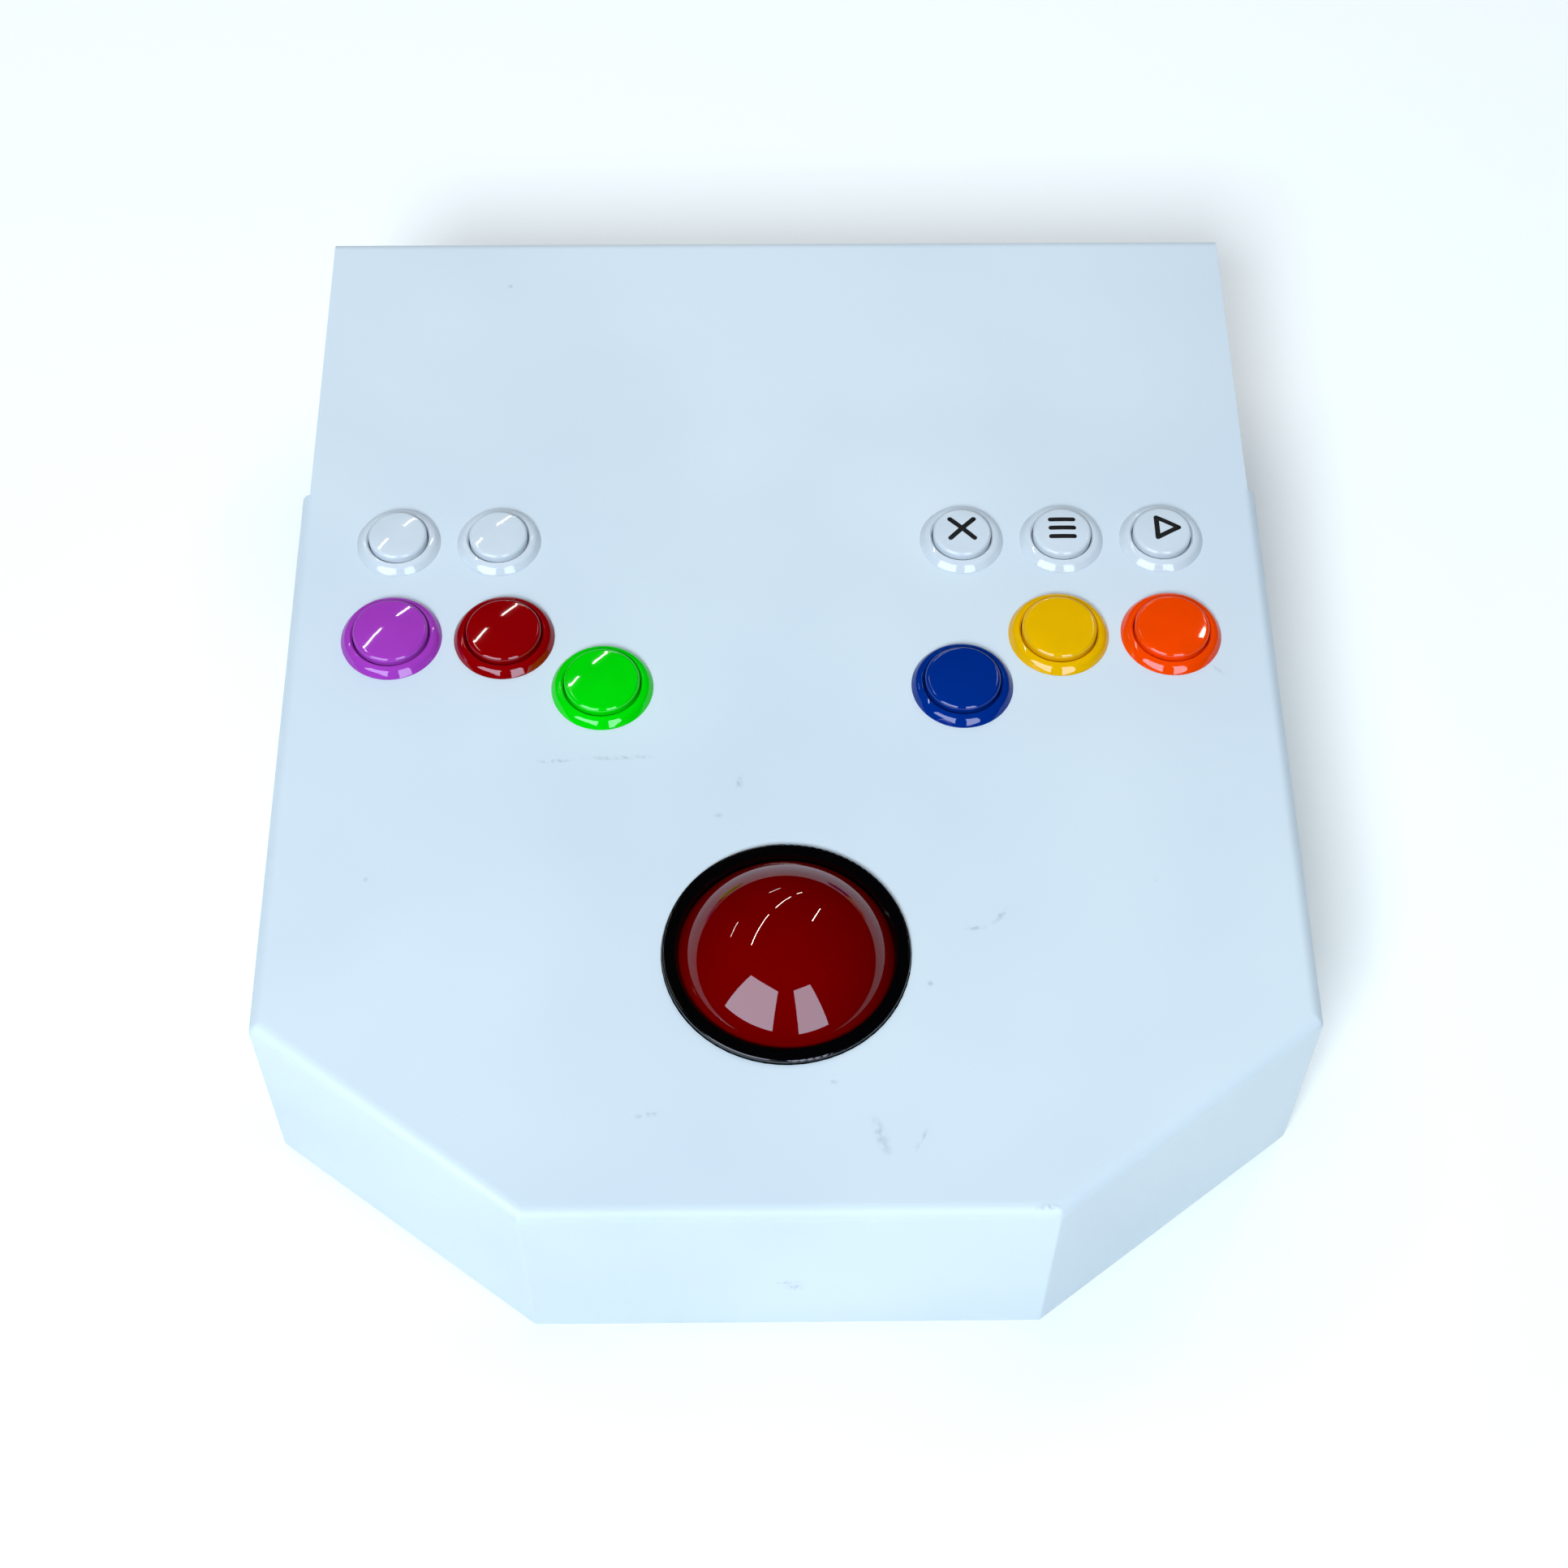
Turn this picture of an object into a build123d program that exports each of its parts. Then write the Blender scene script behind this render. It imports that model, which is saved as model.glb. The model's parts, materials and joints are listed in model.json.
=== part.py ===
from build123d import *

import math
import os

# Arcade control panel: a folded sheet-steel deck with six large and five small push buttons and a
# three-inch trackball. Millimetres, +Z up, the player stands on the -Y side. The origin is at the
# middle of the footprint, on the surface that the folded skirt stands on.

# ---------------------------------------------------------------- driving dimensions
# deck
PANEL_WIDTH = 333.5
PANEL_DEPTH = 394.0
PANEL_HEIGHT = 86.0
SHEET = 1.5
BEND_INNER = 3.0
BEND_OUTER = BEND_INNER + SHEET
CORNER_WELD_RADIUS = 1.6
FRONT_HALF_LENGTH = 81.0        # half of the straight front edge
CHAMFER_DEPTH = 64.5            # the slanted corners end this far behind the front edge
SKIRT_DEPTH = 274.0             # the side skirts end here, and the narrower tongue begins
TONGUE_STEP = 2.9               # how much narrower the tongue is, at each side
RETURN_FLANGE = 20.0
REAR_FLANGE = 22.0
DECK_BOLT_R = 3.3               # M6 clearance
DECK_BOLT_SPACING_X = 310.0
DECK_BOLT_ROWS = (100.0, 250.0)  # behind the front edge
FRONT_BOLT_SPACING = 120.0
FLANGE_HOLE_INSET = 11.0
REAR_BOLT_R = 2.75              # M5 clearance
REAR_BOLT_SPACING = 240.0
REAR_BOLT_DROP = 12.0           # below the top surface

# push buttons, two standard sizes
SLIDE_CLEARANCE = 0.3
SWITCH_LENGTH, SWITCH_WIDTH, SWITCH_HEIGHT = 19.8, 6.4, 10.2
SWITCH_PIN_R = 1.2
SWITCH_PIN_SPACING = 9.5
NUB_LENGTH, NUB_WIDTH, NUB_HEIGHT = 3.0, 2.6, 2.6   # height above the switch at rest
NUB_ROOT = 1.0                  # how much of it stays inside the switch at rest
PRESS = 2.2                     # how far every button goes down
TERMINAL_WIDTH, TERMINAL_THICKNESS, TERMINAL_LENGTH = 4.8, 0.5, 7.0
TERMINAL_OFFSETS = (-6.0, 5.0)
TERMINAL_HOLE_R = 0.8
THREAD_PITCH, THREAD_DEPTH = 1.5, 0.45
THREAD_FROM = -2.5              # the first groove's height; the last stays clear of the end
SHOULDER = -4.0                 # the barrel is wider inside below here, for the stop collar
BARREL_WALL = 0.95
MOUTH_FLARE, MOUTH_DEPTH = 0.7, 1.0
DOME_R = 85.0                   # every plunger's top is a very flat dome
CAP_WALL, CAP_CROWN, CAP_SKIRT = 1.4, 2.2, -12.0
STOP_LOW, STOP_HIGH = -6.4, -4.1
STEM_R = 2.6
HOLDER_FLOOR, HOLDER_LIP, LIP_WALL, LIP_GAP = 2.0, 4.0, 0.9, 0.03
SWITCH_RISE = 1.0               # the switch's top stands this far inside the barrel
SWITCH_PIN_UP = 2.2             # its pin holes, above its lower face
CAGE_DEPTH, CAGE_SIDE, CAGE_END = 5.0, 1.2, 1.1
NUT_NOTCHES, NOTCH_DEPTH, NOTCH_WIDTH = 12, 1.0, 3.2

LARGE = dict(rim_r=17.0, rim_height=3.2, plunger_r=12.65, plunger_height=6.1, edge_r=1.5,
             barrel_r=14.8, hole_r=15.1, nut_r=18.4, nut_height=5.0, barrel_length=22.0)
SMALL = dict(rim_r=14.4, rim_height=2.9, plunger_r=10.0, plunger_height=5.5, edge_r=1.3,
             barrel_r=11.8, hole_r=12.1, nut_r=15.4, nut_height=4.5, barrel_length=20.0)

# trackball
BALL_R = 38.1
BALL_DEPTH = 18.0               # the ball's centre, below the top surface
COLLAR_R = 39.1
COLLAR_HOLE_R = 39.4
COLLAR_PROUD = 2.0
THROAT_R = 34.15
MOUTH_R = 34.9
COLLAR_EDGE = 0.8
PLATE_HALF = 64.0
PLATE_CORNER = 12.0
PLATE_THICKNESS = 4.0
TUB_HALF = 54.0
TUB_CORNER = 8.0
TUB_WALL = 2.5
STUD_OFFSET = 57.0
SPLIT_BELOW_TOP = 36.0          # the two halves of the housing part here
TUB_BELOW_TOP = 72.0            # underside of the lower half
ROLLER_R = 6.0
ROLLER_HALF = 17.0
SHAFT_R = 3.0
CONTACT_ANGLE = 35.0            # the rollers touch the ball this far below its equator
CONTACT_GAP = 0.3
BEARING_R, BEARING_WIDTH, BEARING_GAP = 6.5, 5.0, 0.05
BEARING_NEAR = 21.0
WHEEL_R, WHEEL_THICKNESS, WHEEL_SLOTS = 12.0, 1.5, 24
SLOT_LENGTH, SLOT_WIDTH, SLOT_INSET = 3.0, 1.1, 2.6
WHEEL_AT = 33.0
WHEEL_HUB_R = 5.0
BOARD_HALF, BOARD_NEAR, BOARD_FAR, BOARD_THICKNESS = 11.0, 6.5, 8.0, 1.6
BOARD_CLEAR = 2.5               # the boards stand this far above the tub's floor
SHAFT_END, SHAFT_WHEEL_END = 28.0, 37.0
SCREW_OFFSET = 46.5
SCREW_BOSS_R, SCREW_R, SCREW_HEAD_R, SCREW_HEAD = 4.0, 1.5, 2.9, 2.0
SCREW_SINK = 2.6                # depth of the recess that each screw head sits in
SCREW_BITE = 12.0               # how far a screw reaches into the upper half
RECESS_HALF, RECESS_WIDTH = 1.6, 0.6
SADDLE_HALF, SADDLE_THICKNESS = 9.0, 4.8
STUD_R, STUD_FOOT_R, STUD_LENGTH, STUD_HOLE_R = 2.5, 2.7, 14.0, 2.75
WASHER_R, WASHER_THICKNESS = 5.0, 1.0
NUT_HALF_FLAT, NUT_CORNER_R, NUT_THICKNESS = 4.0, 4.45, 5.0
HEADER_HALF, HEADER_DEPTH, HEADER_HEIGHT, HEADER_WALL = 5.0, 6.0, 6.0, 1.0
HEADER_AT = 6.0                 # its inner face, outwards from the wheel
LEDGE_WIDTH, LEDGE_HALF = 3.0, 6.0
GATE_HALF, GATE_REACH, GATE_SLOT = 6.5, 4.2, 1.6
GATE_OVERLAP = 4.5              # how far the fork reaches up past the wheel's edge
CABLE_SLOT_HALF, CABLE_SLOT_HEIGHT = 6.0, 7.5

# ---------------------------------------------------------------- derived places
FRONT_Y = -PANEL_DEPTH / 2
REAR_Y = PANEL_DEPTH / 2
TOP = PANEL_HEIGHT
UNDER = TOP - SHEET
HALF_WIDTH = PANEL_WIDTH / 2
TONGUE_HALF = HALF_WIDTH - TONGUE_STEP
OUTER_ROW = FRONT_Y + 211.8
INNER_ROW = FRONT_Y + 191.1
SMALL_ROW = FRONT_Y + 252.3
LARGE_PLACES = {
    "purple": (-131.5, OUTER_ROW), "red": (-93.5, OUTER_ROW), "green": (-60.0, INNER_ROW),
    "blue": (60.0, INNER_ROW), "yellow": (93.5, OUTER_ROW), "orange": (131.5, OUTER_ROW),
}
SMALL_PLACES = {
    "left_outer": (-131.5, SMALL_ROW), "left_inner": (-97.0, SMALL_ROW),
    "close": (62.5, SMALL_ROW), "menu": (97.0, SMALL_ROW), "play": (131.5, SMALL_ROW),
}
BALL_X, BALL_Y, BALL_Z = 0.0, FRONT_Y + 89.6, TOP - BALL_DEPTH
ROLLER_REACH = BALL_R + ROLLER_R + CONTACT_GAP
ROLLER_OUT = ROLLER_REACH * math.cos(math.radians(CONTACT_ANGLE))
ROLLER_Z = BALL_Z - ROLLER_REACH * math.sin(math.radians(CONTACT_ANGLE))
SPLIT_Z = TOP - SPLIT_BELOW_TOP
TUB_Z = TOP - TUB_BELOW_TOP
BOARD_Z = TUB_Z + TUB_WALL + BOARD_CLEAR
GATE_SLOT_Z = ROLLER_Z - WHEEL_R - 1.5


# ---------------------------------------------------------------- helpers
def disc(radius, z_low, z_high, x=0.0, y=0.0):
    """An upright cylinder between two heights."""
    return Pos(x, y, (z_low + z_high) / 2) * Cylinder(radius, z_high - z_low)


def slab(x_low, x_high, y_low, y_high, z_low, z_high):
    """A box between two corners."""
    middle = ((x_low + x_high) / 2, (y_low + y_high) / 2, (z_low + z_high) / 2)
    return Pos(*middle) * Box(x_high - x_low, y_high - y_low, z_high - z_low)


def turned(points):
    """A solid of revolution about Z, from a closed outline of (radius, height) points."""
    outline = Plane.XZ * make_face(Polyline(*points, close=True))
    return revolve(outline, Axis.Z)


def rounded_plate(half, corner, z_low, z_high):
    """A square plate with rounded corners."""
    return Pos(0, 0, z_low) * extrude(RectangleRounded(2 * half, 2 * half, corner), z_high - z_low)


def outline_plate(points, z_low, z_high):
    """A flat plate cut to a closed outline of (x, y) points."""
    return Pos(0, 0, z_low) * extrude(make_face(Polyline(*points, close=True)), z_high - z_low)


# ---------------------------------------------------------------- the deck
def deck_outline(inset, rear):
    """The deck's outline seen from above, moved inwards by inset and cut off at rear."""
    slant = math.atan2(CHAMFER_DEPTH, HALF_WIDTH - FRONT_HALF_LENGTH)
    side = HALF_WIDTH - inset
    front = FRONT_Y + inset
    front_half = FRONT_HALF_LENGTH - inset * math.tan(slant / 2)
    corner_y = FRONT_Y + CHAMFER_DEPTH + inset * math.tan((math.pi / 2 - slant) / 2)
    return [(-front_half, front), (front_half, front), (side, corner_y), (side, rear),
            (-side, rear), (-side, corner_y)]


def front_box():
    """The folded front part: outer skin with its welded corners and rounded bends."""
    rear = FRONT_Y + SKIRT_DEPTH
    skin = outline_plate(deck_outline(0, rear), 0, TOP)
    corners = skin.edges().filter_by(Axis.Z).sort_by(Axis.Y)[:4]
    skin = fillet(corners, CORNER_WELD_RADIUS)
    for height in (0, TOP):
        rim = [e for e in skin.edges()
               if abs(e.center().Z - height) < 0.01 and e.center().Y < rear - 0.01]
        skin = fillet(rim, BEND_OUTER)
    return skin


def front_cavity():
    """What the fold leaves empty, with the bend's inner radius along the top."""
    rear = FRONT_Y + SKIRT_DEPTH
    room = outline_plate(deck_outline(SHEET, rear + SHEET), SHEET, UNDER)
    ends = [e for e in room.edges()
            if (abs(e.center().Z - UNDER) < 0.01 or abs(e.center().Z - SHEET) < 0.01)
            and e.center().Y < rear]
    return fillet(ends, BEND_INNER)


def tongue():
    """The flat rear part, a little narrower, with its rear edge folded down."""
    plate_end = FRONT_Y + SKIRT_DEPTH
    skin = slab(-TONGUE_HALF, TONGUE_HALF, plate_end, REAR_Y, TOP - REAR_FLANGE, TOP)
    rear_edge = skin.edges().filter_by(Axis.X).sort_by(Axis.Y)[-2:].sort_by(Axis.Z)[-1]
    skin = fillet(rear_edge, BEND_OUTER)
    room = slab(-TONGUE_HALF - 1, TONGUE_HALF + 1, plate_end - 1, REAR_Y - SHEET,
                TOP - REAR_FLANGE - 1, UNDER)
    room_edge = room.edges().filter_by(Axis.X).sort_by(Axis.Y)[-2:].sort_by(Axis.Z)[-1]
    return skin - fillet(room_edge, BEND_INNER)


def panel_shell():
    """The whole folded and welded deck, with every hole."""
    rear = FRONT_Y + SKIRT_DEPTH
    shell = front_box() - front_cavity()
    shell -= outline_plate(deck_outline(RETURN_FLANGE, rear + 1), -1, SHEET + 1)
    shell += tongue()
    for x, y in LARGE_PLACES.values():
        shell -= disc(LARGE["hole_r"], UNDER - 1, TOP + 1, x, y)
    for x, y in SMALL_PLACES.values():
        shell -= disc(SMALL["hole_r"], UNDER - 1, TOP + 1, x, y)
    shell -= disc(COLLAR_HOLE_R, UNDER - 1, TOP + 1, BALL_X, BALL_Y)
    for x in (-DECK_BOLT_SPACING_X / 2, DECK_BOLT_SPACING_X / 2):
        for row in DECK_BOLT_ROWS:
            shell -= disc(DECK_BOLT_R, -1, SHEET + 1, x, FRONT_Y + row)
    for x in (-FRONT_BOLT_SPACING / 2, FRONT_BOLT_SPACING / 2):
        shell -= disc(DECK_BOLT_R, -1, SHEET + 1, x, FRONT_Y + FLANGE_HOLE_INSET)
    for x in (-REAR_BOLT_SPACING / 2, REAR_BOLT_SPACING / 2):
        bolt = Pos(x, REAR_Y, TOP - REAR_BOLT_DROP) * Rot(90, 0, 0)
        shell -= bolt * Cylinder(REAR_BOLT_R, 3 * BEND_OUTER)
    return shell


# ---------------------------------------------------------------- push buttons
# Each is made about its own axis, with height 0 on the deck's top surface.
def button_body(size):
    """Rim and threaded barrel in one moulding. The rim is a rounded ring that falls outwards."""
    bore = size["plunger_r"] + SLIDE_CLEARANCE
    mouth = bore + MOUTH_FLARE
    wide_bore = size["barrel_r"] - BARREL_WALL
    rim, height, barrel = size["rim_r"], size["rim_height"], size["barrel_r"]
    length = size["barrel_length"]
    crest = (rim - 1.2, 0.72 * height)
    outline = Curve() + [
        Line((mouth, height), (bore, height - MOUTH_DEPTH)),
        Line((bore, height - MOUTH_DEPTH), (bore, SHOULDER)),
        Line((bore, SHOULDER), (wide_bore, SHOULDER)),
        Line((wide_bore, SHOULDER), (wide_bore, -length)),
        Line((wide_bore, -length), (barrel, -length)),
        Line((barrel, -length), (barrel, 0)),
        Line((barrel, 0), (rim, 0)),
        Line((rim, 0), (rim, 0.5)),
        ThreePointArc((rim, 0.5), crest, (mouth + 0.3, height)),
        Line((mouth + 0.3, height), (mouth, height)),
    ]
    body = revolve(Plane.XZ * make_face(outline), Axis.Z)
    depth = THREAD_FROM
    while depth > -length + THREAD_PITCH:
        groove = [(barrel + 0.1, depth), (barrel - THREAD_DEPTH, depth - THREAD_PITCH / 4),
                  (barrel + 0.1, depth - THREAD_PITCH / 2)]
        body -= turned(groove)
        depth -= THREAD_PITCH
    return body


def plunger(size):
    """The cap that is pressed: a domed cup with a rounded edge, a stop collar and a stem."""
    radius, height = size["plunger_r"], size["plunger_height"]
    inside = radius - CAP_WALL
    stop_r = size["barrel_r"] - BARREL_WALL - SLIDE_CLEARANCE
    stem_end = switch_top(size) + NUB_HEIGHT
    dome_centre = height - DOME_R
    cup = disc(radius, CAP_SKIRT, height) & Pos(0, 0, dome_centre) * Sphere(DOME_R)
    edge_height = dome_centre + math.sqrt(DOME_R ** 2 - radius ** 2)
    edge = [e for e in cup.edges().filter_by(GeomType.CIRCLE)
            if abs((e @ 0).Z - edge_height) < 0.01 and abs((e @ 0.5).Z - edge_height) < 0.01]
    cup = fillet(edge, size["edge_r"])
    cup -= disc(inside, CAP_SKIRT - 1, height - CAP_CROWN)
    cup += disc(stop_r, STOP_LOW, STOP_HIGH) - disc(inside, STOP_LOW - 1, STOP_HIGH + 1)
    return cup + disc(STEM_R, stem_end, height - CAP_CROWN)


def switch_top(size):
    """Height of the microswitch's upper face, just above the barrel's end."""
    return -size["barrel_length"] + SWITCH_RISE


def switch_holder(size):
    """The cap that closes the barrel from below and cages the microswitch."""
    length = size["barrel_length"]
    plug_r = size["barrel_r"] - BARREL_WALL - LIP_GAP
    low = -length - HOLDER_FLOOR
    floor = disc(size["barrel_r"], low, -length)
    lip = disc(plug_r, -length, -length + HOLDER_LIP)
    lip -= disc(plug_r - LIP_WALL, -length, -length + HOLDER_LIP + 1)
    cage_x, cage_y = SWITCH_LENGTH / 2 + CAGE_END, SWITCH_WIDTH / 2 + CAGE_SIDE
    cage = slab(-cage_x, cage_x, -cage_y, cage_y, low - CAGE_DEPTH, low)
    pocket_x, pocket_y = SWITCH_LENGTH / 2, SWITCH_WIDTH / 2
    pocket = slab(-pocket_x, pocket_x, -pocket_y, pocket_y, low - CAGE_DEPTH - 1, -length + 1)
    return floor + lip + cage - pocket


def microswitch(size):
    """The switch's moulded body, with its two pin holes and the well that its nub sinks into."""
    high = switch_top(size)
    body = slab(-SWITCH_LENGTH / 2, SWITCH_LENGTH / 2, -SWITCH_WIDTH / 2, SWITCH_WIDTH / 2,
                high - SWITCH_HEIGHT, high)
    low_edges = body.edges().filter_by(Axis.Y).sort_by(Axis.Z)[:2]
    body = chamfer(low_edges, 0.8)
    for x in (-SWITCH_PIN_SPACING / 2, SWITCH_PIN_SPACING / 2):
        pin = Pos(x, 0, high - SWITCH_HEIGHT + SWITCH_PIN_UP) * Rot(90, 0, 0)
        body -= pin * Cylinder(SWITCH_PIN_R, SWITCH_WIDTH + 1)
    well_x, well_y = NUB_LENGTH / 2 + SLIDE_CLEARANCE, NUB_WIDTH / 2 + SLIDE_CLEARANCE
    well_floor = high - NUB_ROOT - PRESS - SLIDE_CLEARANCE
    return body - slab(-well_x, well_x, -well_y, well_y, well_floor, high + 1)


def switch_terminals(size):
    """The two brass tabs under the switch, each with its solder hole."""
    high = switch_top(size) - SWITCH_HEIGHT
    tabs = []
    for x in TERMINAL_OFFSETS:
        tab = slab(x - TERMINAL_THICKNESS / 2, x + TERMINAL_THICKNESS / 2,
                   -TERMINAL_WIDTH / 2, TERMINAL_WIDTH / 2, high - TERMINAL_LENGTH, high)
        tip = tab.edges().filter_by(Axis.X).sort_by(Axis.Z)[:2]
        tab = chamfer(tip, 1.0)
        hole = Pos(x, 0, high - TERMINAL_LENGTH + TERMINAL_WIDTH / 2) * Rot(0, 90, 0)
        tabs.append(tab - hole * Cylinder(TERMINAL_HOLE_R, 2))
    return tabs


def switch_nub(size):
    """The switch's own little plunger, which the stem presses."""
    high = switch_top(size)
    return slab(-NUB_LENGTH / 2, NUB_LENGTH / 2, -NUB_WIDTH / 2, NUB_WIDTH / 2,
                high - NUB_ROOT, high + NUB_HEIGHT)


def ring_nut(size):
    """The plastic nut that pulls the rim down on to the deck, notched for a spanner."""
    high = -SHEET
    low = high - size["nut_height"]
    nut = disc(size["nut_r"], low, high) - disc(size["barrel_r"] + 0.05, low - 1, high + 1)
    nut = chamfer(nut.edges().filter_by(GeomType.CIRCLE).group_by(Axis.Z)[0].sort_by(
        SortBy.RADIUS)[-1], 0.8)
    for turn in range(NUT_NOTCHES):
        notch = Rot(0, 0, turn * 360 / NUT_NOTCHES) * Pos(size["nut_r"], 0, 0)
        nut -= notch * slab(-NOTCH_DEPTH, NOTCH_DEPTH, -NOTCH_WIDTH / 2, NOTCH_WIDTH / 2,
                            low - 1, high - 1.2)
    return nut


# ---------------------------------------------------------------- trackball
# Made about the ball's vertical axis, with true heights.
def ball():
    return Pos(0, 0, BALL_Z) * Sphere(BALL_R)


def trackball_cover():
    """Upper half of the housing: mounting plate, the collar round the ball, and the upper walls."""
    plate_low = UNDER - PLATE_THICKNESS
    collar_top = TOP + COLLAR_PROUD
    cover = rounded_plate(PLATE_HALF, PLATE_CORNER, plate_low, UNDER)
    wall = rounded_plate(TUB_HALF, TUB_CORNER, SPLIT_Z, plate_low)
    wall -= rounded_plate(TUB_HALF - TUB_WALL, TUB_CORNER - TUB_WALL, SPLIT_Z - 1, plate_low)
    cover += wall + disc(COLLAR_R, UNDER, collar_top)
    cover -= turned([(0, collar_top + 1), (MOUTH_R + 0.6, collar_top + 1), (MOUTH_R, collar_top),
                     (THROAT_R, TOP + 0.6), (THROAT_R + 2.7, plate_low),
                     (THROAT_R + 2.7, plate_low - 1), (0, plate_low - 1)])
    outer_edge = cover.edges().filter_by(GeomType.CIRCLE).group_by(Axis.Z)[-1].sort_by(
        SortBy.RADIUS)[-1]
    cover = fillet(outer_edge, COLLAR_EDGE)
    for place in bearing_places():
        post = SADDLE_THICKNESS / 2
        cover += place * slab(-post, post, -post, post, ROLLER_Z + BEARING_R, plate_low)
    for x, y in corner_places(SCREW_OFFSET):
        cover += disc(SCREW_BOSS_R, SPLIT_Z, plate_low, x, y)
        cover -= disc(SCREW_R, SPLIT_Z - 1, SPLIT_Z + SCREW_BITE + 2, x, y)
    for x, y in corner_places(STUD_OFFSET):
        cover -= disc(STUD_HOLE_R, plate_low - 1, UNDER + 1, x, y)
    return cover


def trackball_tub():
    """Lower half of the housing: a square tub with a screw boss in each corner."""
    tub = rounded_plate(TUB_HALF, TUB_CORNER, TUB_Z, SPLIT_Z)
    tub -= rounded_plate(TUB_HALF - TUB_WALL, TUB_CORNER - TUB_WALL, TUB_Z + TUB_WALL, SPLIT_Z + 1)
    for x, y in corner_places(SCREW_OFFSET):
        tub += disc(SCREW_BOSS_R, TUB_Z, SPLIT_Z, x, y)
        tub -= disc(SCREW_R + 0.2, TUB_Z - 1, SPLIT_Z + 1, x, y)
        tub -= disc(SCREW_HEAD_R + 0.2, TUB_Z - 1, TUB_Z + SCREW_SINK, x, y)
    for name in WHEEL_SIDE:
        tub -= cable_slot(name)
    return tub


def bearing_saddles():
    """Six upright blocks on the tub's floor, each with a round seat for one bearing."""
    blocks = []
    seat = Pos(0, 0, ROLLER_Z) * Rot(90, 0, 0) * Cylinder(BEARING_R, SADDLE_THICKNESS + 1)
    for place in bearing_places():
        block = slab(-SADDLE_HALF, SADDLE_HALF, -SADDLE_THICKNESS / 2, SADDLE_THICKNESS / 2,
                     TUB_Z + TUB_WALL, ROLLER_Z)
        blocks.append(place * (block - seat))
    return blocks


def corner_places(offset):
    """The four corners of a square, as (x, y)."""
    return [(x, y) for x in (-offset, offset) for y in (-offset, offset)]


def roller_frames():
    """Where the three shafts lie: each frame's Y runs along its shaft, and the ball is on its +X."""
    return {
        "left_right": Pos(-ROLLER_OUT, 0, 0),
        "front_back": Pos(0, ROLLER_OUT, 0) * Rot(0, 0, -90),
        "idler": Pos(ROLLER_OUT * math.sqrt(0.5), -ROLLER_OUT * math.sqrt(0.5), 0) * Rot(0, 0, 135),
    }


# Which way along its own Y each driven shaft carries its encoder wheel.
WHEEL_SIDE = {"left_right": -1, "front_back": 1}


def outboard(name, half, near, far, z_low, z_high):
    """A box under or beside a shaft's wheel, from near to far outwards along the shaft."""
    side = WHEEL_SIDE[name]
    y_low, y_high = sorted((side * near, side * far))
    return roller_frames()[name] * slab(-half, half, y_low, y_high, z_low, z_high)


def bearing_places():
    """Frames at the six bearings, with Y along the shaft."""
    middle = BEARING_NEAR + BEARING_WIDTH / 2
    return [frame * Pos(0, side * middle, 0) for frame in roller_frames().values()
            for side in (-1, 1)]


def along_shaft(radius, y_low, y_high):
    """A cylinder along a shaft's Y, at the shaft's height."""
    middle = Pos(0, (y_low + y_high) / 2, ROLLER_Z) * Rot(90, 0, 0)
    return middle * Cylinder(radius, y_high - y_low)


def roller(name):
    """A ground steel shaft with the thicker roller that the ball turns."""
    shaft = along_shaft(SHAFT_R, -SHAFT_END, SHAFT_END)
    shaft += along_shaft(ROLLER_R, -ROLLER_HALF, ROLLER_HALF)
    if name in WHEEL_SIDE:
        ends = sorted((WHEEL_SIDE[name] * ROLLER_HALF, WHEEL_SIDE[name] * SHAFT_WHEEL_END))
        shaft += along_shaft(SHAFT_R, *ends)
    ends = shaft.edges().filter_by(GeomType.CIRCLE)
    shaft = chamfer([e for e in ends if abs(e.radius - ROLLER_R) < 0.01], 0.5)
    return roller_frames()[name] * shaft


def encoder_wheel(name):
    """A thin black disc with a ring of light slots, on a hub."""
    middle = WHEEL_SIDE[name] * WHEEL_AT
    low, high = middle - WHEEL_THICKNESS / 2, middle + WHEEL_THICKNESS / 2
    wheel = along_shaft(WHEEL_R, low, high)
    wheel += along_shaft(WHEEL_HUB_R, low - WHEEL_THICKNESS, high + WHEEL_THICKNESS)
    wheel -= along_shaft(SHAFT_R, low - 2 * WHEEL_THICKNESS, high + 2 * WHEEL_THICKNESS)
    for slot in range(WHEEL_SLOTS):
        turn = Pos(0, middle, ROLLER_Z) * Rot(0, slot * 360 / WHEEL_SLOTS, 0)
        window = Box(SLOT_LENGTH, 2 * WHEEL_THICKNESS, SLOT_WIDTH)
        wheel -= turn * Pos(WHEEL_R - SLOT_INSET, 0, 0) * window
    return roller_frames()[name] * wheel


def bearing():
    """A small ball bearing, closed by its shields, about the Y axis at the origin."""
    ring = Cylinder(BEARING_R, BEARING_WIDTH) - Cylinder(SHAFT_R + BEARING_GAP, BEARING_WIDTH + 1)
    for face in (-1, 1):
        groove = Cylinder(BEARING_R - 1.0, 0.5) - Cylinder(SHAFT_R + 1.1, 0.6)
        ring -= Pos(0, 0, face * (BEARING_WIDTH / 2 - 0.25)) * groove
    return Rot(90, 0, 0) * ring


def encoder_board(name):
    """The little circuit board under an encoder wheel."""
    return outboard(name, BOARD_HALF, WHEEL_AT - BOARD_NEAR, WHEEL_AT + BOARD_FAR,
                    BOARD_Z, BOARD_Z + BOARD_THICKNESS)


def board_ledges(name):
    """The two ledges that carry a board above the tub's floor."""
    reach = (WHEEL_AT - LEDGE_HALF, WHEEL_AT + LEDGE_HALF)
    both = outboard(name, BOARD_HALF, *reach, TUB_Z + TUB_WALL, BOARD_Z)
    return both - outboard(name, BOARD_HALF - LEDGE_WIDTH, *reach, TUB_Z + TUB_WALL, BOARD_Z)


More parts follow.
